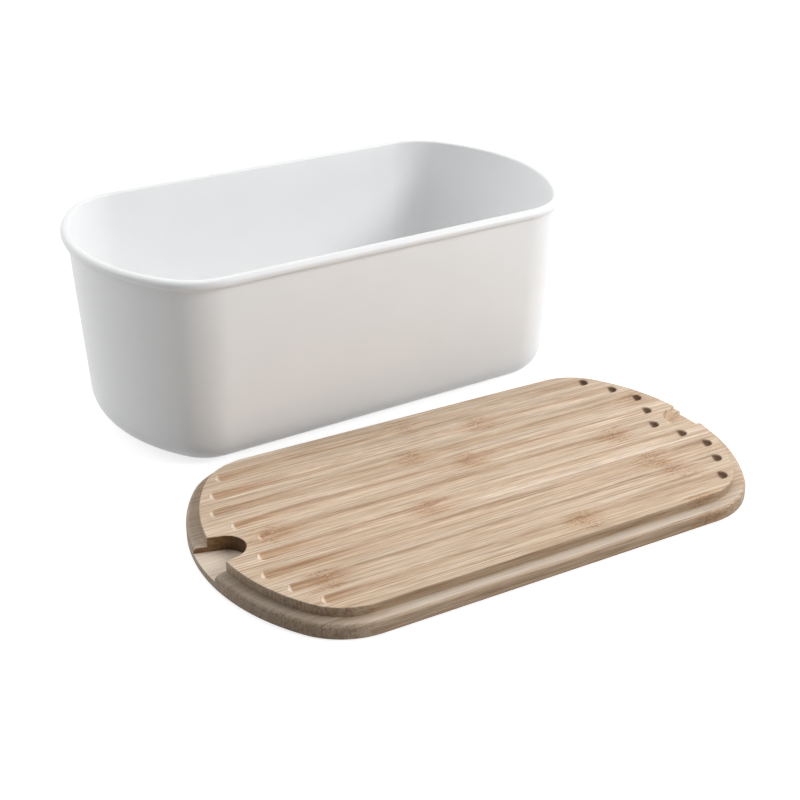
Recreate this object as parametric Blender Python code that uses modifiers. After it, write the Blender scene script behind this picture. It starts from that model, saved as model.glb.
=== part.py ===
"""Bread box: a moulded white tub, and a bamboo board that is its lid and its cutting board.

Units are metres and +Z is up. The origin is the middle of the tub's underside and +X runs along the tub.
The lid lies beside the tub as it does in use: turned over, with its plug and its crumb grooves upwards.
"""
import math

import bmesh
import bpy
from mathutils import Matrix, Vector

# Tub
TUB_LENGTH = 0.350
TUB_WIDTH = 0.190
TUB_HEIGHT = 0.132
END_RADIUS = 0.129
CORNER_RADIUS = 0.046
WALL = 0.0025
WALL_DRAFT = 0.0075
FOOT_RADIUS = 0.021
BEAD_HEIGHT = 0.0062
BEAD_PROJECTION = 0.0035
MOUTH_RADIUS = 0.0016

# Lid: its edge staves are sawn down to a share of the others' width
FLANGE_THICKNESS = 0.009
FLANGE_OVERHANG = 0.0015
FLANGE_TOP_RADIUS = 0.0026
FLANGE_UNDER_RADIUS = 0.0012
PLUG_HEIGHT = 0.006
PLUG_CLEARANCE = 0.0006
PLUG_EDGE_RADIUS = 0.0006
STAVE_COUNT = 11
EDGE_STAVE_SHARE = 0.63
GLUE_LINE = 0.0003

# Crumb grooves
GROOVE_COUNT = 9
GROOVE_WIDTH = 0.009
GROOVE_DEPTH = 0.003
GROOVE_SIDE_LAND = 0.0111
GROOVE_END_LAND = 0.006
GROOVE_NOTCH_LAND = 0.0075

# Finger notches
NOTCH_DEPTH = 0.026
NOTCH_NOSE_RADIUS = 0.012
NOTCH_FLARE = math.radians(15)
NOTCH_FLOOR = 0.0055

# Where the lid lies beside the tub
LID_TURN = math.radians(-3)
LID_SHIFT = -0.0065
LID_GAP = 0.001

# How far a cutter runs past what it cuts
OVERRUN = 0.004

# Steps of the curves
CORNER_STEPS = 12
END_STEPS = 14
FOOT_STEPS = 8
BEAD_STEPS = 8
EDGE_STEPS = 3
FLANGE_STEPS = 5
NOSE_STEPS = 16
GROOVE_STEPS = 24
GROOVE_TIP_STEPS = 6

# Screw welds the points on its axis, which lie nearer together than this
POLE_MERGE = 0.00001

# Colours
TUB_WHITE = (0.80, 0.80, 0.79)
BAMBOO_TONES = ((0.62, 0.47, 0.32), (0.66, 0.51, 0.36), (0.58, 0.43, 0.29))


def arc(centre, radius, start, stop, steps):
    """Points from angle start to angle stop, in radians, as (across, up) pairs."""
    angles = [start + (stop - start) * step / steps for step in range(steps + 1)]
    return [(centre[0] + radius * math.cos(a), centre[1] + radius * math.sin(a)) for a in angles]


def plan(inset):
    """The rim's plan drawn this far inside its outer edge: bowed ends, straight sides, round corners."""
    swing = END_RADIUS - CORNER_RADIUS
    spread = math.asin((TUB_WIDTH / 2 - CORNER_RADIUS) / swing)
    end_x = TUB_LENGTH / 2 - END_RADIUS
    corner_x = end_x + swing * math.cos(spread)
    corner_y = swing * math.sin(spread)
    corner = CORNER_RADIUS - inset
    near = arc((corner_x, -corner_y), corner, -math.pi / 2, -spread, CORNER_STEPS)
    bow = arc((end_x, 0), END_RADIUS - inset, -spread, spread, END_STEPS)
    far = arc((corner_x, corner_y), corner, spread, math.pi / 2, CORNER_STEPS)
    half = near + bow[1:-1] + far
    return half + [(-x, -y) for x, y in half]


def plan_edge(inset, y):
    """Where the right-hand end of plan(inset) stands at this y."""
    half = [(x, point_y) for x, point_y in plan(inset) if x > 0]
    for (x0, y0), (x1, y1) in zip(half, half[1:]):
        if y0 <= y <= y1:
            return x0 + (x1 - x0) * (y - y0) / (y1 - y0)
    return 0


def loft(name, sections):
    """A closed solid through sections with as many points each, every one counter-clockwise from above."""
    mesh = bpy.data.meshes.new(name)
    bm = bmesh.new()
    rings = [[bm.verts.new(point) for point in section] for section in sections]
    for lower, upper in zip(rings, rings[1:]):
        for here in range(len(lower)):
            after = (here + 1) % len(lower)
            bm.faces.new((lower[here], lower[after], upper[after], upper[here]))
    bm.faces.new(reversed(rings[0]))
    bm.faces.new(rings[-1])
    bm.to_mesh(mesh)
    bm.free()
    return bpy.data.objects.new(name, mesh)


def loft_profile(name, profile):
    """A solid whose section, a list of (inset, height) pairs, runs all the way round the plan."""
    return loft(name, [[(x, y, height) for x, y in plan(inset)] for inset, height in profile])


def box(name, low, high):
    """A box between two corners."""
    mesh = bpy.data.meshes.new(name)
    bm = bmesh.new()
    size = Vector(high) - Vector(low)
    middle = (Vector(high) + Vector(low)) / 2
    bmesh.ops.create_cube(bm, size=1, matrix=Matrix.Translation(middle) @ Matrix.Diagonal((*size, 1)))
    bm.to_mesh(mesh)
    bm.free()
    return bpy.data.objects.new(name, mesh)


def finish(obj, colour, roughness, smooth_angle):
    """Gives a piece its own material, and smooth shading across its gentle edges."""
    material = bpy.data.materials.new(obj.name)
    material.use_nodes = True
    shader = material.node_tree.nodes["Principled BSDF"]
    shader.inputs["Base Color"].default_value = (*colour, 1)
    shader.inputs["Roughness"].default_value = roughness
    shader.inputs["Metallic"].default_value = 0
    obj.data.materials.append(material)
    obj.data.shade_smooth()
    obj.data.set_sharp_from_angle(angle=smooth_angle)


def cut(obj, cutter, operation):
    """Adds an exact Boolean with the cutter."""
    boolean = obj.modifiers.new(cutter.name, "BOOLEAN")
    boolean.operation = operation
    boolean.solver = "EXACT"
    boolean.object = cutter


def tub_profile():
    """The tub's section from the middle of its underside, up the outside, over the rim and down inside."""
    draft = math.atan(WALL_DRAFT / TUB_HEIGHT)
    foot_inset = BEAD_PROJECTION + WALL_DRAFT
    hub = (foot_inset - FOOT_RADIUS * math.tan(draft) + FOOT_RADIUS / math.cos(draft), FOOT_RADIUS)

    down = 1.5 * math.pi
    out = math.pi + draft
    outside = arc(hub, FOOT_RADIUS, down, out, FOOT_STEPS)
    inside = arc(hub, FOOT_RADIUS - WALL, out, down, FOOT_STEPS)

    under_bead = TUB_HEIGHT - BEAD_HEIGHT
    outside.append((foot_inset - under_bead * math.tan(draft), under_bead))
    bead_radius = BEAD_HEIGHT / 2
    bead = arc((bead_radius, TUB_HEIGHT - bead_radius), bead_radius, down, math.pi / 2, BEAD_STEPS)

    lip_height = TUB_HEIGHT - MOUTH_RADIUS
    inner_face = foot_inset + WALL / math.cos(draft) - lip_height * math.tan(draft)
    lip = (inner_face - MOUTH_RADIUS / math.cos(draft), lip_height)
    mouth = arc(lip, MOUTH_RADIUS, math.pi / 2, draft, EDGE_STEPS)
    return outside + bead + mouth + inside


def rim_width():
    """From the bead's outer edge to the inner face of the wall at the mouth."""
    draft = math.atan(WALL_DRAFT / TUB_HEIGHT)
    return BEAD_PROJECTION + WALL / math.cos(draft)


def board_profile(plug_inset):
    """The lid's section as it lies: round-edged flange below, plug with a sharper edge above."""
    quarter = math.pi / 2
    edge = -FLANGE_OVERHANG
    top = FLANGE_THICKNESS + PLUG_HEIGHT
    under = arc((edge + FLANGE_UNDER_RADIUS, FLANGE_UNDER_RADIUS), FLANGE_UNDER_RADIUS,
                3 * quarter, 2 * quarter, EDGE_STEPS)
    over = arc((edge + FLANGE_TOP_RADIUS, FLANGE_THICKNESS - FLANGE_TOP_RADIUS), FLANGE_TOP_RADIUS,
               2 * quarter, quarter, FLANGE_STEPS)
    plug = arc((plug_inset + PLUG_EDGE_RADIUS, top - PLUG_EDGE_RADIUS), PLUG_EDGE_RADIUS,
               2 * quarter, quarter, EDGE_STEPS)
    return under + over + [(plug_inset, FLANGE_THICKNESS)] + plug


def notch_cutter(name, nose_x, edge_x):
    """A finger notch at the right-hand end: round nose, flared walls, open at the end and above."""
    out_x = edge_x + OVERRUN
    out_y = NOTCH_NOSE_RADIUS / math.cos(NOTCH_FLARE) + (out_x - nose_x) * math.tan(NOTCH_FLARE)
    nose = arc((nose_x, 0), NOTCH_NOSE_RADIUS, math.pi / 2 + NOTCH_FLARE, 1.5 * math.pi - NOTCH_FLARE, NOSE_STEPS)
    shape = [(out_x, out_y)] + nose + [(out_x, -out_y)]
    top = FLANGE_THICKNESS + PLUG_HEIGHT + OVERRUN
    return loft(name, [[(x, y, height) for x, y in shape] for height in (NOTCH_FLOOR, top)])


def groove_cutter(name, y, reach):
    """A round-ended cove of the groove's width and depth, turned about its own long axis."""
    radius = (GROOVE_WIDTH ** 2 / 4 + GROOVE_DEPTH ** 2) / (2 * GROOVE_DEPTH)
    straight = reach - GROOVE_WIDTH / 2
    upper = arc((0, straight), radius, math.pi / 2, 0, GROOVE_TIP_STEPS)
    lower = arc((0, -straight), radius, 0, -math.pi / 2, GROOVE_TIP_STEPS)
    mesh = bpy.data.meshes.new(name)
    bm = bmesh.new()
    points = [bm.verts.new((across, 0, along)) for across, along in upper + lower]
    for first, second in zip(points, points[1:]):
        bm.edges.new((first, second))
    bm.to_mesh(mesh)
    bm.free()
    cutter = bpy.data.objects.new(name, mesh)
    screw = cutter.modifiers.new("turn", "SCREW")
    screw.steps = GROOVE_STEPS
    screw.render_steps = GROOVE_STEPS
    screw.use_merge_vertices = True
    screw.merge_threshold = POLE_MERGE
    height = FLANGE_THICKNESS + PLUG_HEIGHT + radius - GROOVE_DEPTH
    cutter.matrix_local = Matrix.Translation((0, y, height)) @ Matrix.Rotation(math.pi / 2, 4, "Y")
    return cutter


def groove_reach(y, plug_inset, nose_x):
    """How far a groove runs from the middle: short of the plug's edge, and clear of the finger notch."""
    at_edge = plan_edge(plug_inset, y) - GROOVE_END_LAND
    away = NOTCH_NOSE_RADIUS + GROOVE_NOTCH_LAND + GROOVE_WIDTH / 2
    if abs(y) >= away:
        return at_edge
    at_notch = nose_x - math.sqrt(away ** 2 - y ** 2) + GROOVE_WIDTH / 2
    return min(at_edge, at_notch)


def board_form(place_guide):
    """The glued-up board as the machine leaves it, with its grooves and notches."""
    plug_inset = rim_width() + PLUG_CLEARANCE
    form = loft_profile("board_form", board_profile(plug_inset))
    place_guide(form)

    edge_x = TUB_LENGTH / 2 + FLANGE_OVERHANG
    nose_x = edge_x - NOTCH_DEPTH + NOTCH_NOSE_RADIUS
    for end in range(2):
        notch = notch_cutter(f"notch_cutter_{end + 1}", nose_x, edge_x)
        notch.rotation_euler.z = math.pi * end
        place_guide(notch)
        cut(form, notch, "DIFFERENCE")
    outer_y = TUB_WIDTH / 2 - plug_inset - GROOVE_SIDE_LAND - GROOVE_WIDTH / 2
    for number in range(GROOVE_COUNT):
        y = outer_y * (2 * number / (GROOVE_COUNT - 1) - 1)
        groove = groove_cutter(f"groove_cutter_{number + 1}", y, groove_reach(y, plug_inset, nose_x))
        place_guide(groove)
        cut(form, groove, "DIFFERENCE")
    return form


def lid_centre():
    """The lid lies in front of the tub, its nearest edge LID_GAP from the rim as seen from above."""
    near_edge = max(x * math.sin(LID_TURN) + y * math.cos(LID_TURN) for x, y in plan(-FLANGE_OVERHANG))
    return (LID_SHIFT, -TUB_WIDTH / 2 - LID_GAP - near_edge, 0)


def build():
    for obj in list(bpy.data.objects):
        bpy.data.objects.remove(obj)
    pieces = bpy.data.collections.new("bread_box")
    guides = bpy.data.collections.new("bread_box_cutters")
    bpy.context.scene.collection.children.link(pieces)
    bpy.context.scene.collection.children.link(guides)

    tub = loft_profile("tub", tub_profile())
    pieces.objects.link(tub)
    finish(tub, TUB_WHITE, 0.4, math.radians(40))

    lid = bpy.data.objects.new("lid", None)
    lid.location = lid_centre()
    lid.rotation_euler.z = LID_TURN
    pieces.objects.link(lid)

    def place_guide(obj):
        obj.parent = lid
        obj.hide_render = True
        obj.display_type = "WIRE"
        guides.objects.link(obj)

    form = board_form(place_guide)
    half_length = TUB_LENGTH / 2 + FLANGE_OVERHANG + OVERRUN
    top = FLANGE_THICKNESS + PLUG_HEIGHT + OVERRUN
    board_width = TUB_WIDTH + 2 * FLANGE_OVERHANG
    stave_width = board_width / (STAVE_COUNT - 2 + 2 * EDGE_STAVE_SHARE)
    for number in range(STAVE_COUNT):
        low_y = (number - STAVE_COUNT / 2) * stave_width + GLUE_LINE / 2
        high_y = (number + 1 - STAVE_COUNT / 2) * stave_width - GLUE_LINE / 2
        stave = box(f"lid_stave_{number + 1:02d}", (-half_length, low_y, -OVERRUN), (half_length, high_y, top))
        stave.parent = lid
        pieces.objects.link(stave)
        cut(stave, form, "INTERSECT")
        finish(stave, BAMBOO_TONES[number % len(BAMBOO_TONES)], 0.5, math.radians(30))


build()
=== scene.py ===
"""A bread box as photographed: the open white tub, and its bamboo lid turned over in front of it as a board."""
import math

import bmesh
import bpy
from mathutils import Matrix, Vector


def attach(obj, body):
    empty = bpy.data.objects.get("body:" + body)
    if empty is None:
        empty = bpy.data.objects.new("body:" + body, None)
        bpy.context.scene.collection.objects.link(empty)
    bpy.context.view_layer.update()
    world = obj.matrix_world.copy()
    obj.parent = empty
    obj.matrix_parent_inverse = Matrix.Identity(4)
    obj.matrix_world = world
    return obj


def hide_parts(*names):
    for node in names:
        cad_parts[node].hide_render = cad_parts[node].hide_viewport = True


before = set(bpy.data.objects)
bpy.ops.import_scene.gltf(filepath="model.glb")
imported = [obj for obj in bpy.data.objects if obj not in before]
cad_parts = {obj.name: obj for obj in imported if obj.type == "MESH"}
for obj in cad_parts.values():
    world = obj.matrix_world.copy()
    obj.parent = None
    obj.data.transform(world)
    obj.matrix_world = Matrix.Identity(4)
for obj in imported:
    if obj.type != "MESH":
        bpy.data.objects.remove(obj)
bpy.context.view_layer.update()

# TUB
# One compression moulding in white melamine: a flat floor, drafted walls with a large round foot, bowed
# ends and a solid half-round bead at the rim. Satin all over, with the faint waviness of a moulded face.
tub_length = 0.350
tub_width = 0.190
tub_height = 0.132
end_radius = 0.129
corner_radius = 0.046
wall = 0.0025
draft_inset = 0.0075
lean = math.atan(draft_inset / tub_height)
foot_radius = 0.021
bead_height = 0.0062
bead_projection = 0.0035
neck_radius = 0.0004
mouth_radius = 0.0016
corner_facets, bow_facets, side_facets = 22, 44, 26
foot_facets, neck_facets, bead_facets, mouth_facets = 22, 4, 22, 10
wall_bands = 12
melamine_white = (0.893, 0.898, 0.901)
melamine_shade = (0.878, 0.884, 0.888)
melamine_roughness = (0.30, 0.42)
melamine_ior = 1.5


def arc(centre, radius, start, stop, facets):
    """Points on a circle from one angle to another, both ends included."""
    angles = [start + (stop - start) * number / facets for number in range(facets + 1)]
    return [(centre[0] + radius * math.cos(angle), centre[1] + radius * math.sin(angle)) for angle in angles]


def between(first, last, bands):
    """The points that part the way from one point to another into equal bands, both ends left out."""
    return [(first[0] + (last[0] - first[0]) * band / bands, first[1] + (last[1] - first[1]) * band / bands)
            for band in range(1, bands)]


def rim_plan(inset):
    """The rim's outline this far inside its outer edge, counter-clockwise from above."""
    swing = end_radius - corner_radius
    spread = math.asin((tub_width / 2 - corner_radius) / swing)
    end_x = tub_length / 2 - end_radius
    corner_x = end_x + swing * math.cos(spread)
    corner_y = swing * math.sin(spread)
    near = arc((corner_x, -corner_y), corner_radius - inset, -math.pi / 2, -spread, corner_facets)
    bow = arc((end_x, 0), end_radius - inset, -spread, spread, bow_facets)
    far = arc((corner_x, corner_y), corner_radius - inset, spread, math.pi / 2, corner_facets)
    side_y = tub_width / 2 - inset
    side = [(corner_x - 2 * corner_x * number / side_facets, side_y) for number in range(1, side_facets)]
    half = near + bow[1:-1] + far + side
    return half + [(-x, -y) for x, y in half]


def tub_section():
    """Inset and height from the underside's edge, round the foot, over the bead and down to the inner floor."""
    foot_inset = bead_projection + draft_inset
    hub = (foot_inset - foot_radius * math.tan(lean) + foot_radius / math.cos(lean), foot_radius)
    down = 1.5 * math.pi
    out = math.pi + lean
    outside = arc(hub, foot_radius, down, out, foot_facets)
    inside = arc(hub, foot_radius - wall, out, down, foot_facets)
    under_bead = tub_height - bead_height
    wall_top = (foot_inset - under_bead * math.tan(lean), under_bead)
    rise = between(outside[-1], wall_top, wall_bands)
    neck = arc((wall_top[0] - neck_radius, under_bead - neck_radius), neck_radius, 0, math.pi / 2, neck_facets)
    bead_radius = bead_height / 2
    bead = arc((bead_radius, tub_height - bead_radius), bead_radius, down, math.pi / 2, bead_facets)
    lip_height = tub_height - mouth_radius
    inner_face = foot_inset + wall / math.cos(lean) - lip_height * math.tan(lean)
    lip = (inner_face - mouth_radius / math.cos(lean), lip_height)
    mouth = arc(lip, mouth_radius, math.pi / 2, lean, mouth_facets)
    fall = between(mouth[-1], inside[0], wall_bands)
    return outside + rise + neck + bead + mouth + fall + inside


def show(name, data):
    """A new object in the scene that shows this mesh, lamp or camera."""
    thing = bpy.data.objects.new(name, data)
    bpy.context.scene.collection.objects.link(thing)
    return thing


def skin(name, rings):
    """A closed mesh through rings of as many points each, its ends filled."""
    mesh = bpy.data.meshes.new(name)
    bm = bmesh.new()
    rows = [[bm.verts.new(point) for point in ring] for ring in rings]
    for lower, upper in zip(rows, rows[1:]):
        for here in range(len(lower)):
            after = (here + 1) % len(lower)
            bm.faces.new((lower[here], lower[after], upper[after], upper[here]))
    bm.faces.new(reversed(rows[0]))
    bm.faces.new(rows[-1])
    bm.normal_update()
    bm.to_mesh(mesh)
    bm.free()
    return show(name, mesh)


def smooth(piece, sharp_above):
    """Smooth shading that breaks at edges sharper than this many degrees."""
    piece.data.shade_smooth()
    piece.data.set_sharp_from_angle(angle=math.radians(sharp_above))


def new_material(name):
    """A material with its node tree, and its Principled shader."""
    material = bpy.data.materials.new(name)
    material.use_nodes = True
    return material, material.node_tree, material.node_tree.nodes["Principled BSDF"]


def colour_ramp(tree, value, stops, interpolation="LINEAR"):
    """The colours of these stops, each a place from 0 to 1 and its colour, picked by a value."""
    node = tree.nodes.new("ShaderNodeValToRGB")
    node.color_ramp.interpolation = interpolation
    elements = node.color_ramp.elements
    while len(elements) < len(stops):
        elements.new(0.5)
    for element, (position, colour) in zip(elements, stops):
        element.position = position
        element.color = (*colour, 1)
    tree.links.new(value, node.inputs["Fac"])
    return node.outputs["Color"]


def rescaled(tree, value, least, most):
    """What runs from 0 to 1, spread between these two."""
    node = tree.nodes.new("ShaderNodeMapRange")
    node.inputs["To Min"].default_value = least
    node.inputs["To Max"].default_value = most
    tree.links.new(value, node.inputs["Value"])
    return node.outputs["Result"]


def relief(tree, height, strength, depth, over=None):
    """The normal of a fine relief on the surface, or on another relief."""
    bump = tree.nodes.new("ShaderNodeBump")
    bump.inputs["Strength"].default_value = strength
    bump.inputs["Distance"].default_value = depth
    tree.links.new(height, bump.inputs["Height"])
    if over:
        tree.links.new(over, bump.inputs["Normal"])
    return bump.outputs["Normal"]


def melamine():
    """White melamine: satin, with fine specks of tone, a slight wave and a soft grain in the gloss."""
    material, tree, shader = new_material("white melamine")
    place = tree.nodes.new("ShaderNodeTexCoord")

    def noise(fineness, detail):
        texture = tree.nodes.new("ShaderNodeTexNoise")
        texture.inputs["Scale"].default_value = fineness
        texture.inputs["Detail"].default_value = detail
        tree.links.new(place.outputs["Object"], texture.inputs["Vector"])
        return texture.outputs["Fac"]

    cloud = noise(fineness=38, detail=5)
    grain = noise(fineness=2600, detail=2)
    tone = colour_ramp(tree, cloud, ((0.3, melamine_shade), (0.7, melamine_white)))
    tree.links.new(tone, shader.inputs["Base Color"])
    tree.links.new(rescaled(tree, cloud, *melamine_roughness), shader.inputs["Roughness"])
    wave = relief(tree, cloud, strength=0.25, depth=0.0006)
    peel = relief(tree, grain, strength=0.12, depth=0.00003, over=wave)
    tree.links.new(peel, shader.inputs["Normal"])
    shader.inputs["IOR"].default_value = melamine_ior
    return material


tub = skin("tub_moulding", [[(x, y, height) for x, y in rim_plan(inset)] for inset, height in tub_section()])
smooth(tub, sharp_above=25)
tub.data.materials.append(melamine())
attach(tub, "tub")
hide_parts("tub")

# LID BLANK
# A 15 mm bamboo board, machined as one: a 9 mm flange that overhangs the rim, a 6 mm plug that drops in
# the mouth, nine crumb grooves cut by a round-nosed cutter and a finger notch at each end.
flange_overhang = 0.0014
flange_thickness = 0.009
flange_top_radius = 0.0026
flange_under_radius = 0.0012
plug_height = 0.006
plug_clearance = 0.0006
plug_edge_radius = 0.0006
plug_root_radius = 0.0003
plug_inset = bead_projection + wall / math.cos(lean) + plug_clearance
board_top = flange_thickness + plug_height
board_end = tub_length / 2 + flange_overhang
under_facets, flange_facets, root_facets, plug_facets = 8, 10, 4, 8
groove_count = 9
groove_width = 0.009
groove_depth = 0.003
groove_side_land = 0.0111
groove_end_land = 0.006
groove_notch_land = 0.0075
groove_floor = board_top - groove_depth
outer_groove_y = tub_width / 2 - plug_inset - groove_side_land - groove_width / 2
cove_bands, groove_end_facets = 12, 24
# the eased brim of a groove: how far past its edge, and how far above the board's top
groove_brim = ((-0.00012, -0.00028), (0.00002, -0.00012), (0.00022, -0.00003), (0.00045, 0.00002))
notch_depth = 0.026
notch_nose_radius = 0.012
notch_flare = math.radians(15)
notch_floor = 0.0055
notch_eased_edge = 0.0004
notch_nose_x = board_end - notch_depth + notch_nose_radius
notch_facets = 40
notch_easing_degrees = (20, 40, 58, 75)
cutter_overrun = 0.004
# how the lid lies: turned, moved to the left, and this far in front of the tub
lid_turn = math.radians(-3)
lid_shift = -0.0065
lid_gap = 0.001
lid_reach = max(x * math.sin(lid_turn) + y * math.cos(lid_turn) for x, y in rim_plan(-flange_overhang))
lid_middle = (lid_shift, -tub_width / 2 - lid_gap - lid_reach, 0)
lid_place = Matrix.Translation(lid_middle) @ Matrix.Rotation(lid_turn, 4, "Z")


def board_section():
    """Inset and height from the underside's edge, round the flange, up the plug to its top."""
    quarter = math.pi / 2
    under = arc((flange_under_radius - flange_overhang, flange_under_radius), flange_under_radius,
                3 * quarter, 2 * quarter, under_facets)
    over = arc((flange_top_radius - flange_overhang, flange_thickness - flange_top_radius), flange_top_radius,
               2 * quarter, quarter, flange_facets)
    root = arc((plug_inset - plug_root_radius, flange_thickness + plug_root_radius), plug_root_radius,
               3 * quarter, 4 * quarter, root_facets)
    crown = arc((plug_inset + plug_edge_radius, board_top - plug_edge_radius), plug_edge_radius,
                2 * quarter, quarter, plug_facets)
    return under + over + root + crown


def bow_edge(inset, y):
    """Where the right-hand end of the plan at this inset stands at this y."""
    half = [(x, point_y) for x, point_y in rim_plan(inset) if x > 0]
    (x0, y0), (x1, y1) = next(pair for pair in zip(half, half[1:]) if pair[0][1] <= y <= pair[1][1])
    return x0 + (x1 - x0) * (y - y0) / (y1 - y0)


def groove_reach(y):
    """How far from the middle of the board the groove at this y runs, clear of its end and of the notch."""
    reach = bow_edge(plug_inset, y) - groove_end_land
    clear_of_notch = notch_nose_radius + groove_notch_land + groove_width / 2
    if abs(y) < clear_of_notch:
        reach = min(reach, notch_nose_x - math.sqrt(clear_of_notch ** 2 - y ** 2) + groove_width / 2)
    return reach


def notch_outline(spread):
    """A notch's plan, grown by this much: round nose, flared walls, open at the board's end."""
    radius = notch_nose_radius + spread
    out_x = board_end + cutter_overrun
    out_y = radius / math.cos(notch_flare) + (out_x - notch_nose_x) * math.tan(notch_flare)
    nose = arc((notch_nose_x, 0), radius, math.pi / 2 + notch_flare, 1.5 * math.pi - notch_flare, notch_facets)
    return [(out_x, out_y)] + nose + [(out_x, -out_y)]


def notch_cutter(end):
    """The cutter of the right-hand notch (end 0) or the left-hand one (end 1), easing outwards at the top."""
    sign = 1 - 2 * end
    levels = [(0, notch_floor), (0, board_top - notch_eased_edge)]
    for degrees in notch_easing_degrees:
        angle = math.radians(degrees)
        levels.append((notch_eased_edge * (1 - math.cos(angle)),
                       board_top - notch_eased_edge + notch_eased_edge * math.sin(angle)))
    levels.append((notch_eased_edge, board_top + cutter_overrun))
    return skin(f"notch_cutter_{end}", [[(sign * x, sign * y, height) for x, y in notch_outline(spread)]
                                        for spread, height in levels])


def groove_cutter(number, y, reach):
    """A crumb groove's cutter: rings round its centre line, each as far out as the cove is at that depth."""
    radius = (groove_width ** 2 / 4 + groove_depth ** 2) / (2 * groove_depth)
    half_angle = math.asin(groove_width / 2 / radius)
    straight = reach - groove_width / 2
    angles = [half_angle * band / cove_bands for band in range(1, cove_bands)]
    section = [(radius * math.sin(angle), groove_floor + (radius - radius * math.cos(angle))) for angle in angles]
    section += [(groove_width / 2 + out, board_top + above) for out, above in groove_brim]
    section.append((section[-1][0], board_top + cutter_overrun))
    rings = []
    for out, height in section:
        right_end = arc((straight, y), out, -math.pi / 2, math.pi / 2, groove_end_facets)
        left_end = arc((-straight, y), out, math.pi / 2, 1.5 * math.pi, groove_end_facets)
        rings.append([(x, end_y, height) for x, end_y in right_end + left_end])
    return skin(f"groove_cutter_{number}", rings)


def cut(piece, cutter, operation):
    """Applies an exact Boolean, keeps the result as the piece's mesh and clears the cutter away."""
    modifier = piece.modifiers.new("cut", "BOOLEAN")
    modifier.operation = operation
    modifier.solver = "EXACT"
    modifier.object = cutter
    bpy.context.view_layer.update()
    mesh = bpy.data.meshes.new_from_object(piece.evaluated_get(bpy.context.evaluated_depsgraph_get()))
    piece.modifiers.clear()
    piece.data = mesh
    bpy.data.objects.remove(cutter)


def join(name, parts):
    """One object that holds the meshes of several, which are removed."""
    bm = bmesh.new()
    for part in parts:
        bm.from_mesh(part.data)
        bpy.data.objects.remove(part)
    mesh = bpy.data.meshes.new(name)
    bm.to_mesh(mesh)
    bm.free()
    return show(name, mesh)


blank = skin("lid_blank", [[(x, y, height) for x, y in rim_plan(inset)] for inset, height in board_section()])
cutters = [notch_cutter(end) for end in range(2)]
for number in range(groove_count):
    groove_y = outer_groove_y * (2 * number / (groove_count - 1) - 1)
    cutters.append(groove_cutter(number, groove_y, groove_reach(groove_y)))
cut(blank, join("lid_cutters", cutters), "DIFFERENCE")

# LID STAVES
# Eleven lengthwise strips of pressed bamboo, glued edge to edge before the blank is machined; the two edge
# strips are sawn down. Each has its own tone, its fibres run lengthwise, and growth knots cross it.
stave_count = 11
edge_stave_share = 0.63
glue_line = 0.00001
stave_width = (tub_width + 2 * flange_overhang) / (stave_count - 2 + 2 * edge_stave_share)
groove_pitch = 2 * outer_groove_y / (groove_count - 1)
# for each strip from the front: its tone, its warmth, and its knots as places along it and strengths
stave_looks = (
    (0.91, 0.60, ((0.107, 1.0),)),
    (0.93, 0.75, ((0.032, 1.0),)),
    (0.98, 0.30, ((0.116, 0.9), (-0.127, 1.0))),
    (0.96, 0.70, ((0.109, 1.0),)),
    (1.05, 0.20, ((-0.040, 0.8),)),
    (0.98, 0.55, ((0.109, 0.9), (-0.135, 0.9))),
    (1.05, 0.20, ((0.010, 0.75),)),
    (0.96, 0.55, ((-0.020, 0.8), (0.150, 0.6))),
    (1.05, 0.05, ((0.040, 0.85),)),
    (0.98, 0.35, ((-0.005, 0.7),)),
    (1.02, 0.10, ((0.060, 0.8),)),
)
# the grown wood, and what a warm strip has less of
pale_wood = (0.81, 0.681, 0.553)
mid_wood = (0.690, 0.547, 0.415)
light_wood = (0.80, 0.70, 0.60)
brown_wood = (0.46, 0.305, 0.19)
warmth_takes = (0.0, 0.03, 0.065)
cloud_share, streak_share = 0.55, 0.92
# how strong the scorch and painted shade in the grooves and the knots' smears are, from their thin to their full
# patches
scorch_and_shade_range, back_wall_shade = (0.42, 0.97), 0.55
smear_range = (0.12, 0.97)
# how sharply the cut ends set in, and how much less they show in the right-hand notch
end_sharpness, right_notch_less = 1.6, 0.65
# what covers the grown wood in places, real marks and painted light, highlight and shadow: the share of it that
# hides the wood, and its colour
bundles_on_faces = (0.22, (0.36, 0.24, 0.15))
bundles_on_ends = (0.5, (0.24, 0.17, 0.12))
knot_dark_specks = (0.60, (0.25, 0.15, 0.085))
knot_pale_specks = (0.50, (0.74, 0.62, 0.49))
painted_groove_end_highlight = (0.5, (0.88, 0.78, 0.66))
ripple_crest = (0.20, (0.88, 0.79, 0.67))
notch_floor_light = (0.65, (0.77, 0.675, 0.57))
long_ledge_light = (0.55, (0.71, 0.635, 0.55))
shadowed_left_ledge = (0.5, (0.39, 0.325, 0.26))
# stains, and painted shade, shadow and highlight: how strong each one is, and what it multiplies the colour of the
# wood by
knot_stain = (1.0, (0.77, 0.61, 0.46))
scorch_and_shade_stain = (1.0, (0.68, 0.54, 0.41))
groove_end_shadow = (1.0, (0.29, 0.21, 0.145))
notch_wall_shade = (1.0, (0.42, 0.31, 0.20))
notch_nose_shade = (1.0, (0.66, 0.58, 0.42))
long_side_grain_and_shade = (0.9, (0.62, 0.57, 0.51))
left_ledge_shadow = (0.8, (0.72, 0.70, 0.68))
front_left_shadow = (1.0, (0.68, 0.69, 0.70))
edge_highlight = (0.45, (1.42, 1.44, 1.46))
glue_stain = (0.65, (0.50, 0.41, 0.33))
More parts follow.
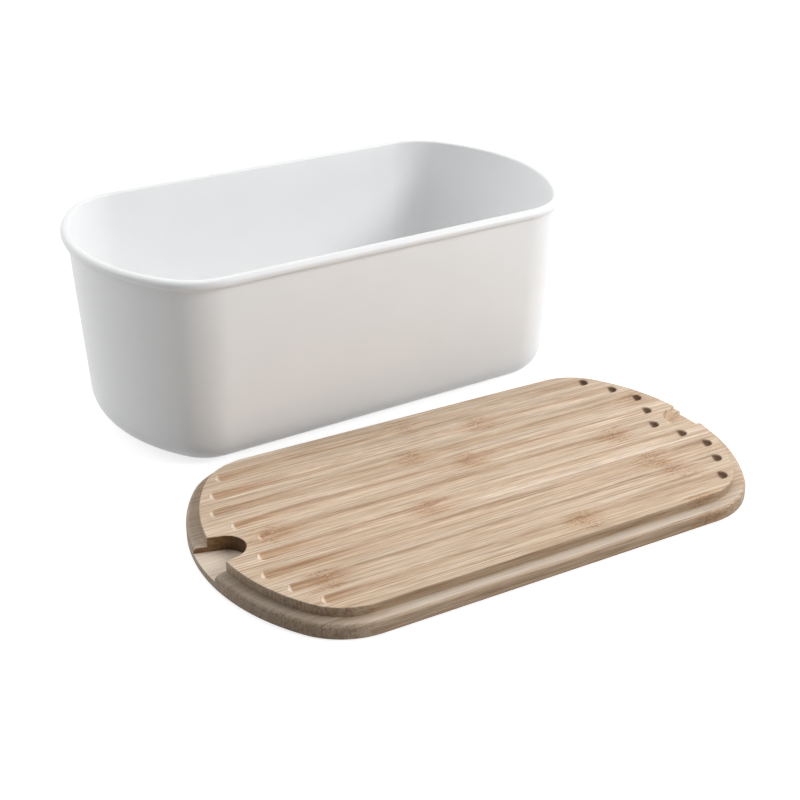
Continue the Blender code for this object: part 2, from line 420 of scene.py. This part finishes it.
# tones of the lines, of the fibres and of the saw marks on cut ends: places from 0 to 1, and their stains
line_share, fibre_share, saw_share = 0.95, 0.85, 1.0
line_tones = ((0.30, (1.10, 1.11, 1.12)), (0.48, (1.0, 1.0, 1.0)), (0.68, (0.68, 0.62, 0.56)))
fibre_tones = ((0.32, (0.76, 0.73, 0.70)), (0.62, (1.08, 1.08, 1.08)))
saw_tones = ((0.35, (0.50, 0.485, 0.47)), (0.55, (0.56, 0.55, 0.54)), (0.70, (0.64, 0.63, 0.62)))
knot_reach = 0.018
knot_raggedness = 0.026
fibre_swerve = 0.0022
ripple_length = 0.0013
glue_soak = 0.00025
bundle_relief, ripple_relief = 0.5, 0.25
bamboo_roughness = (0.62, 0.46)
bamboo_specular = 0.35


def strip_middle(number):
    """How far across the board the middle of a strip lies."""
    return (number - 1 - (stave_count - 1) / 2) * stave_width


def bamboo(number, tone, warmth, knots):
    """One strip's bamboo: a solid grain that runs along it, so that its ends show the cut fibres as dots."""
    material, tree, shader = new_material(f"bamboo strip {number:02d}")
    nodes, links = tree.nodes, tree.links
    seed = 3.1 + 7.3 * number

    def feed(socket, value):
        """Sets a socket to a colour or a number, or links it to what another node gives."""
        if isinstance(value, tuple):
            socket.default_value = (*value, 1)
        elif isinstance(value, (int, float)):
            socket.default_value = value
        else:
            links.new(value, socket)

    def calculate(operation, *values):
        """What this operation makes of its values."""
        node = nodes.new("ShaderNodeMath")
        node.operation = operation
        for socket, value in zip(node.inputs, values):
            feed(socket, value)
        return node.outputs[0]

    def product(first, *others):
        """All of these multiplied, one after another."""
        for other in others:
            first = calculate("MULTIPLY", first, other)
        return first

    def size_of(value):
        """The value without its sign."""
        return calculate("ABSOLUTE", value)

    def outside(mask):
        """1 where a mask is 0, and 0 where it is 1."""
        return calculate("SUBTRACT", 1.0, mask)

    def fade(value, none, full):
        """0 at the first bound and beyond it, 1 at the second and beyond it, and even between them."""
        node = nodes.new("ShaderNodeMapRange")
        node.inputs["From Min"].default_value = none
        node.inputs["From Max"].default_value = full
        links.new(value, node.inputs["Value"])
        return node.outputs["Result"]

    def parts_of(vector):
        """A vector's three parts."""
        node = nodes.new("ShaderNodeSeparateXYZ")
        links.new(vector, node.inputs["Vector"])
        return node.outputs

    def noise(vector, fineness, detail, roughness=0.5, offset=0):
        """Noise of its own for each strip, as fine as this along, across and through the board."""
        shift = seed + offset
        mapping = nodes.new("ShaderNodeMapping")
        mapping.inputs["Scale"].default_value = fineness
        mapping.inputs["Location"].default_value = (shift, shift * 1.7, shift * 0.6)
        links.new(vector, mapping.inputs["Vector"])
        texture = nodes.new("ShaderNodeTexNoise")
        texture.inputs["Scale"].default_value = 1
        texture.inputs["Detail"].default_value = detail
        texture.inputs["Roughness"].default_value = roughness
        links.new(mapping.outputs["Vector"], texture.inputs["Vector"])
        return texture.outputs["Fac"]

    def mix(share, colour, other, blend="MIX"):
        """The colour with this share of another over it."""
        node = nodes.new("ShaderNodeMix")
        node.data_type = "RGBA"
        node.blend_type = blend
        # a mix of colours takes its share at socket 0 and its colours at 6 and 7, and gives the result at 2
        for socket, value in ((0, share), (6, colour), (7, other)):
            feed(node.inputs[socket], value)
        return node.outputs[2]

    def covered(mask, colour, cover):
        """The colour with a cover over it where the mask is."""
        share, paint = cover
        return mix(product(mask, share), colour, paint)

    def tinted(mask, colour, tint):
        """The colour multiplied by a tint where the mask is: a real stain, a painted shade or shadow, or a painted
        highlight.
        """
        strength, factor = tint
        return mix(product(mask, strength), colour, factor, "MULTIPLY")

    def toned(wood, warmth=0.0):
        """This wood in the strip's own tone."""
        return tuple((level - less * warmth) * tone for level, less in zip(wood, warmth_takes))

    # the board's own coordinates: its mesh is turned as the lid lies, and this turns it back
    place = nodes.new("ShaderNodeTexCoord")
    turned_back = nodes.new("ShaderNodeMapping")
    turned_back.vector_type = "TEXTURE"
    turned_back.inputs["Location"].default_value = lid_place.translation
    turned_back.inputs["Rotation"].default_value = (0, 0, lid_turn)
    links.new(place.outputs["Object"], turned_back.inputs["Vector"])
    board = turned_back.outputs["Vector"]
    along, across, up = parts_of(board)
    from_centre_line = size_of(across)
    facing_right, facing_back, facing_up = parts_of(place.outputs["Normal"])
    facing_an_end, facing_a_side = size_of(facing_right), size_of(facing_back)

    # how near each point is to a knot, with a ragged edge
    ragged = noise(board, (90, 420, 300), detail=3, roughness=0.6)
    bent = calculate("MULTIPLY_ADD", ragged, knot_raggedness, calculate("SUBTRACT", along, knot_raggedness / 2))
    near_knot = 0.0
    for knot, strength in knots:
        near = product(fade(size_of(calculate("SUBTRACT", bent, knot)), knot_reach, 0.0), strength)
        near_knot = calculate("MAXIMUM", near_knot, near)

    # fibres part round the knots
    swirl = calculate("SUBTRACT", noise(board, (160, 300, 300), detail=2, offset=2), 0.5)
    push = product(swirl, near_knot, fibre_swerve)
    parted = nodes.new("ShaderNodeCombineXYZ")
    links.new(along, parted.inputs["X"])
    links.new(calculate("ADD", across, push), parted.inputs["Y"])
    links.new(calculate("ADD", up, push), parted.inputs["Z"])
    grain = parted.outputs["Vector"]

    # the grown wood, from its broad bands down to its finest fibres
    clouds = noise(grain, (9, 70, 50), detail=2, offset=3)
    bands = noise(grain, (8, 290, 170), detail=3, roughness=0.6)
    streaks = noise(grain, (15, 850, 480), detail=3, roughness=0.6, offset=11)
    lines = noise(grain, (26, 2300, 1500), detail=3, roughness=0.65, offset=17)
    fibres = noise(grain, (90, 5200, 3800), detail=2, roughness=0.6, offset=23)
    mid_cloud, light_cloud = fade(clouds, 0.42, 0.72), fade(clouds, 0.44, 0.24)
    colour = mix(fade(bands, 0.36, 0.64), toned(pale_wood, warmth), toned(mid_wood, warmth))
    colour = covered(mid_cloud, colour, (cloud_share, toned(mid_wood, warmth)))
    colour = covered(light_cloud, colour, (cloud_share, toned(light_wood)))
    colour = covered(fade(streaks, 0.46, 0.68), colour, (streak_share, toned(brown_wood)))
    colour = mix(line_share, colour, colour_ramp(tree, lines, line_tones), "MULTIPLY")
    colour = mix(fibre_share, colour, colour_ramp(tree, fibres, fibre_tones), "MULTIPLY")

    # dark cut bundles: dots on the ends, short dashes on the faces
    bundles_map = nodes.new("ShaderNodeMapping")
    bundles_map.inputs["Scale"].default_value = (90, 1350, 1350)
    bundles_map.inputs["Location"].default_value = (seed, seed, seed)
    links.new(grain, bundles_map.inputs["Vector"])
    bundles = nodes.new("ShaderNodeTexVoronoi")
    bundles.inputs["Scale"].default_value = 1
    links.new(bundles_map.outputs["Vector"], bundles.inputs["Vector"])
    dots = fade(bundles.outputs["Distance"], 0.36, 0.0)
    colour = covered(dots, colour, bundles_on_faces)

    # the grooves darken in patches: painted shade on their back walls, scorch and painted shade on the back halves
    # of their left-hand ends, and painted shadow most of all in their right-hand ends; their left-hand end faces
    # get a painted highlight
    from_groove_middle = calculate("WRAP", across, groove_pitch / 2, -groove_pitch / 2)
    below_top = fade(up, board_top - 0.0002, board_top - 0.0011)
    above_floor = fade(up, groove_floor - 0.0008, groove_floor - 0.0003)
    not_a_wall = fade(facing_up, 0.2, 0.35)
    in_cove = product(below_top, not_a_wall, above_floor)
    back_wall = fade(from_groove_middle, 0.0026, 0.0043)
    back_half = fade(from_groove_middle, -0.0030, 0.0012)
    towards_left = fade(along, -0.085, -0.130)
    turned_right = fade(facing_right, 0.12, 0.35)
    left_end = product(towards_left, back_half, outside(turned_right))
    patches = fade(noise(board, (22, 700, 60), detail=3, roughness=0.6, offset=41), 0.38, 0.60)
    # painted shade on the grooves' back walls, and scorch with painted shade on the back halves of their left-hand
    # ends
    scorch_and_shade = product(calculate("MAXIMUM", product(back_wall, back_wall_shade), left_end), in_cove,
                     rescaled(tree, patches, *scorch_and_shade_range))
    colour = tinted(scorch_and_shade, colour, scorch_and_shade_stain)
    highlighted_end_face = fade(facing_right, 0.10, 0.35)
    shadowed_end_face = fade(facing_right, -0.06, -0.36)
    # a painted highlight on the faces of the grooves' left-hand ends, which face the light
    colour = covered(product(in_cove, highlighted_end_face), colour, painted_groove_end_highlight)
    # painted shadow in the grooves' right-hand ends, which turn away from the light
    colour = tinted(product(in_cove, shadowed_end_face), colour, groove_end_shadow)

    # ripples of the cutter, in patches, clear of the grooves' front edges and of their ends
    ripple = calculate("SINE", product(along, 2 * math.pi / ripple_length))
    ripple_patches = fade(noise(board, (30, 90, 1), detail=1, offset=47), 0.48, 0.58)
    behind_front_edge = fade(from_groove_middle, -0.0041, -0.0027)
    before_back_wall = fade(from_groove_middle, 0.0030, 0.0005)
    clear_of_ends = fade(facing_an_end, 0.08, 0.02)
    rippled = product(ripple_patches, in_cove, behind_front_edge)
    crest = product(fade(ripple, -0.2, 0.9), rippled, before_back_wall, clear_of_ends)
    colour = covered(crest, colour, ripple_crest)

    # the left-hand finger notch: painted shade on its walls, most at its nose, and painted light on its floor
    notch_end = notch_nose_x - notch_nose_radius
    notch_sides = fade(from_centre_line, 0.0185, 0.0175)
    in_left_notch = product(fade(along, 0.001 - notch_end, -notch_end), notch_sides)
    side_wall = fade(facing_a_side, 0.5, 0.75)
    round_nose = fade(along, -notch_nose_x - 0.0015, -notch_nose_x)
    upright = fade(facing_up, 0.6, 0.4)
    above_notch_floor = fade(up, notch_floor, notch_floor + 0.0002)
    notch_wall = product(in_left_notch, calculate("MAXIMUM", side_wall, round_nose), upright, above_notch_floor)
    # painted shade on the notch's walls, and more of it towards the nose
    colour = tinted(notch_wall, colour, notch_wall_shade)
    towards_nose = fade(along, -notch_nose_x - 0.007, -notch_nose_x + 0.002)
    colour = tinted(product(notch_wall, towards_nose), colour, notch_nose_shade)
    quite_level = fade(facing_up, 0.85, 0.97)
    down_at_floor = fade(up, notch_floor + 0.0016, notch_floor + 0.0006)
    on_notch_floor = product(in_left_notch, quite_level, down_at_floor)
    # painted light on the notch's floor
    colour = covered(on_notch_floor, colour, notch_floor_light)

    # the knots: a brown smear drawn out along the grain, with a darker speckled middle
    smear = fade(noise(board, (38, 760, 420), detail=4, roughness=0.65, offset=9), 0.40, 0.60)
    round_knot = fade(near_knot, 0.05, 0.75)
    colour = tinted(product(round_knot, rescaled(tree, smear, *smear_range)), colour, knot_stain)
    speckle = noise(board, (520, 1150, 1150), detail=2, roughness=0.7, offset=5)
    dark_specks, pale_specks = fade(speckle, 0.52, 0.62), fade(speckle, 0.44, 0.34)
    heart = fade(near_knot, 0.50, 0.85)
    colour = covered(product(heart, dark_specks), colour, knot_dark_specks)
    colour = covered(product(heart, pale_specks), colour, knot_pale_specks)

    # cut ends take up more oil and show fine saw lines, less so in the right-hand notch, and not at all on the
    # left-hand ends of the grooves
    saw_marks = noise(board, (3, 1500, 60), detail=2, offset=31)
    cut_end = mix(saw_share, colour, colour_ramp(tree, saw_marks, saw_tones), "MULTIPLY")
    cut_end = covered(dots, cut_end, bundles_on_ends)
    past_notch_end = fade(along, notch_end - 0.001, notch_end)
    short_of_board_end = fade(along, tub_length / 2 - 0.0005, tub_length / 2 - 0.0017)
    in_right_notch = product(past_notch_end, short_of_board_end, notch_sides)
    groove_left_end = product(in_cove, fade(facing_right, 0.0, 0.3))
    endwise = product(calculate("POWER", fade(facing_an_end, 0.0, 0.9), end_sharpness),
                      outside(groove_left_end), outside(product(in_right_notch, right_notch_less)))

    # the long sides are darker than the faces: darker edge grain, with painted shade
    grooved_part = fade(from_centre_line, outer_groove_y + groove_width, outer_groove_y + groove_width / 2 + 0.001)
    turned_aside = fade(facing_a_side, 0.25, 0.85)
    below_face = fade(up, board_top - 0.0001, board_top - 0.0006)
    off_centre = fade(from_centre_line, 0.035, 0.055)
    long_side = product(turned_aside, below_face, outside(product(above_floor, grooved_part)), off_centre)
    colour = tinted(long_side, colour, long_side_grain_and_shade)
    colour = mix(endwise, colour, cut_end)

    # the ledge round the plug: painted light along the front and back, painted shadow of the plug at the left-hand
    # end and its front corner
    up_to_ledge = fade(up, flange_thickness + 0.0012, flange_thickness + 0.0004)
    level = fade(facing_up, 0.80, 0.97)
    clear_of_left_end = fade(along, -0.130, -0.090)
    clear_of_right_end = fade(along, 0.150, 0.115)
    long_ledge = product(up_to_ledge, level, clear_of_left_end, clear_of_right_end)
    # painted light on the long ledge
    colour = covered(long_ledge, colour, long_ledge_light)
    at_left_end = fade(along, -0.125, -0.155)
    left_ledge = product(at_left_end, up_to_ledge, outside(on_notch_floor))
    # painted shadow of the plug on the ledge at the left-hand end
    colour = tinted(left_ledge, colour, left_ledge_shadow)
    colour = covered(product(left_ledge, level), colour, shadowed_left_ledge)
    near_left_end = fade(along, -0.105, -0.140)
    front_half = fade(across, -0.012, -0.019)
    not_steep = fade(facing_up, 0.35, 0.75)
    front_left = product(near_left_end, front_half, not_steep, up_to_ledge)
    # painted shadow on the ledge and its rounding at the front left corner
    colour = tinted(front_left, colour, front_left_shadow)

    # a painted highlight makes the flange's rounded upper edge a little paler
    rounded = product(fade(facing_up, 0.38, 0.60), fade(facing_up, 0.88, 0.66))
    edge_foot = flange_thickness - flange_top_radius
    at_upper_edge = product(fade(up, flange_thickness + 0.0003, flange_thickness),
                            fade(up, edge_foot - 0.0006, edge_foot))
    colour = tinted(product(rounded, at_upper_edge), colour, edge_highlight)

    # the glue line at either side of the strip
    from_middle = size_of(calculate("SUBTRACT", across, strip_middle(number)))
    glue = fade(from_middle, stave_width / 2 - glue_soak, stave_width / 2)
    colour = tinted(glue, colour, glue_stain)
    links.new(colour, shader.inputs["Base Color"])

    # relief: fine pores everywhere, and the cutter's ripples in patches of the grooves
    pores = calculate("SUBTRACT", calculate("ADD", fibres, lines), product(dots, bundle_relief))
    height = calculate("MULTIPLY_ADD", product(ripple, rippled), ripple_relief, pores)
    links.new(relief(tree, height, strength=0.35, depth=0.00007), shader.inputs["Normal"])
    links.new(rescaled(tree, streaks, *bamboo_roughness), shader.inputs["Roughness"])
    shader.inputs["Specular IOR Level"].default_value = bamboo_specular
    return material


for number, looks in enumerate(stave_looks, 1):
    low_y = strip_middle(number) - stave_width / 2 + glue_line / 2
    high_y = strip_middle(number) + stave_width / 2 - glue_line / 2
    reach_x = board_end + cutter_overrun
    outline = ((-reach_x, low_y), (reach_x, low_y), (reach_x, high_y), (-reach_x, high_y))
    strip = skin("strip_cutter", [[(x, y, height) for x, y in outline]
                                  for height in (-cutter_overrun, board_top + cutter_overrun)])
    stave = show(f"bamboo_strip_{number:02d}", blank.data.copy())
    cut(stave, strip, "INTERSECT")
    stave.data.transform(lid_place)
    stave.data.materials.clear()
    stave.data.materials.append(bamboo(number, *looks))
    smooth(stave, sharp_above=9)
    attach(stave, "lid")
    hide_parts(f"lid_stave_{number:02d}")
bpy.data.objects.remove(blank)

# FLOOR AND BACKDROP
# A white sweep. The camera sees it a shade brighter than the lamps make it, so that it is white like the
# photograph's ground and still holds the soft shadow of the object.
floor_half_width = 6
floor_drop = 0.0002
floor_grey = 0.52
floor_roughness = 0.9
floor_lift = 0.74


def plainly_seen(tree):
    """1 for rays from the camera and for those that a gloss or a glass sends on, 0 for the light of the room."""
    path = tree.nodes.new("ShaderNodeLightPath")
    total = path.outputs["Is Camera Ray"]
    for ray in ("Is Glossy Ray", "Is Transmission Ray"):
        larger = tree.nodes.new("ShaderNodeMath")
        larger.operation = "MAXIMUM"
        tree.links.new(total, larger.inputs[0])
        tree.links.new(path.outputs[ray], larger.inputs[1])
        total = larger.outputs[0]
    return total


floor_mesh = bpy.data.meshes.new("floor")
floor_bm = bmesh.new()
bmesh.ops.create_grid(floor_bm, x_segments=1, y_segments=1, size=floor_half_width)
floor_bm.to_mesh(floor_mesh)
floor_bm.free()
floor = show("floor", floor_mesh)
floor.location.z = -floor_drop
floor_paint, floor_tree, floor_shader = new_material("white sweep")
floor_shader.inputs["Base Color"].default_value = (floor_grey, floor_grey, floor_grey, 1)
floor_shader.inputs["Roughness"].default_value = floor_roughness
floor_shader.inputs["Specular IOR Level"].default_value = 0.0
lift = floor_tree.nodes.new("ShaderNodeEmission")
lift.inputs["Color"].default_value = (1, 1, 1, 1)
floor_tree.links.new(rescaled(floor_tree, plainly_seen(floor_tree), 0.0, floor_lift), lift.inputs["Strength"])
added = floor_tree.nodes.new("ShaderNodeAddShader")
floor_tree.links.new(floor_shader.outputs[0], added.inputs[0])
floor_tree.links.new(lift.outputs[0], added.inputs[1])
floor_tree.links.new(added.outputs[0], floor_tree.nodes["Material Output"].inputs["Surface"])
floor.data.materials.append(floor_paint)

# STUDIO LIGHT
# A small key lamp at the right, whose light runs along the grooves, a large box at the front right with a
# low one beneath it, weak ones overhead and at the back left, and a room that is brightest behind the object.
room_bright_side = Vector((-0.05, 1, 0.25)).normalized()
# how bright the room is, from in front of the object to behind it
room_levels = ((0.0, 0.17), (0.45, 0.06), (1.0, 1.0))
room_strength = 1.2
lamp_target = Vector((0.05, -0.1, 0.04))

world = bpy.data.worlds.new("studio")
bpy.context.scene.world = world
world.use_nodes = True
room = world.node_tree
room.nodes.clear()
outlook = room.nodes.new("ShaderNodeTexCoord")
towards = room.nodes.new("ShaderNodeVectorMath")
towards.operation = "DOT_PRODUCT"
towards.inputs[1].default_value = room_bright_side
room.links.new(outlook.outputs["Generated"], towards.inputs[0])
turned = room.nodes.new("ShaderNodeMapRange")
turned.inputs["From Min"].default_value = -1
room.links.new(towards.outputs["Value"], turned.inputs["Value"])
greys = [(position, (level, level, level)) for position, level in room_levels]
dim = room.nodes.new("ShaderNodeBackground")
dim.inputs["Strength"].default_value = room_strength
room.links.new(colour_ramp(room, turned.outputs["Result"], greys, "EASE"), dim.inputs["Color"])
white = room.nodes.new("ShaderNodeBackground")
white.inputs["Color"].default_value = (1, 1, 1, 1)
white.inputs["Strength"].default_value = 1.0
choose = room.nodes.new("ShaderNodeMixShader")
room.links.new(plainly_seen(room), choose.inputs[0])
room.links.new(dim.outputs[0], choose.inputs[1])
room.links.new(white.outputs[0], choose.inputs[2])
room.links.new(choose.outputs[0], room.nodes.new("ShaderNodeOutputWorld").inputs["Surface"])


def soft_box(name, bearing, elevation, distance, size, power):
    """A rectangular lamp that looks at the object; bearing 0 is the right, 90 the back."""
    lamp = bpy.data.lights.new(name, "AREA")
    lamp.shape = "RECTANGLE"
    lamp.size, lamp.size_y = size
    lamp.energy = power
    turn, rise = math.radians(bearing), math.radians(elevation)
    away = Vector((math.cos(turn) * math.cos(rise), math.sin(turn) * math.cos(rise), math.sin(rise)))
    holder = show(name, lamp)
    holder.location = lamp_target + away * distance
    holder.rotation_euler = away.to_track_quat("Z", "Y").to_euler()


soft_box("key", bearing=3, elevation=42, distance=2.0, size=(0.36, 0.32), power=7.2)
soft_box("front", bearing=-50, elevation=34, distance=2.2, size=(0.8, 0.8), power=28)
soft_box("low", bearing=-46, elevation=7, distance=2.2, size=(0.8, 0.4), power=5)
soft_box("top", bearing=80, elevation=78, distance=2.0, size=(0.7, 0.7), power=4.5)
soft_box("left", bearing=150, elevation=34, distance=1.6, size=(0.8, 0.8), power=4.4)

# CAMERA
# It stands 0.95 m from the object, above and to the left of its front, as in the photograph, with a lens of
# about 64 mm and the small shift of the photograph's frame.
frame_pixels = 800
focal_pixels = 1432.7
axis_x, axis_y = 421.6, 355.6
sensor_width = 36
nearest_seen = 0.05
yaw, pitch, roll = math.radians(-33.08), math.radians(25.25), math.radians(0.46)
looked_at = Vector((0.02033, -0.09947, 0.05))
camera_distance = 0.94774
back = Vector((math.sin(yaw) * math.cos(pitch), -math.cos(yaw) * math.cos(pitch), math.sin(pitch)))
right = Vector((math.cos(yaw), math.sin(yaw), 0))
up = back.cross(right)
right, up = right * math.cos(roll) + up * math.sin(roll), up * math.cos(roll) - right * math.sin(roll)
stand = looked_at + back * camera_distance
lens = bpy.data.cameras.new("camera")
lens.sensor_width = sensor_width
lens.lens = focal_pixels / frame_pixels * sensor_width
lens.shift_x = (frame_pixels / 2 - axis_x) / frame_pixels
lens.shift_y = (axis_y - frame_pixels / 2) / frame_pixels
lens.clip_start = nearest_seen
camera = show("camera", lens)
camera.matrix_world = Matrix((
    (right.x, up.x, back.x, stand.x),
    (right.y, up.y, back.y, stand.y),
    (right.z, up.z, back.z, stand.z),
    (0, 0, 0, 1)))
bpy.context.scene.camera = camera
bpy.context.scene.view_settings.view_transform = "Standard"
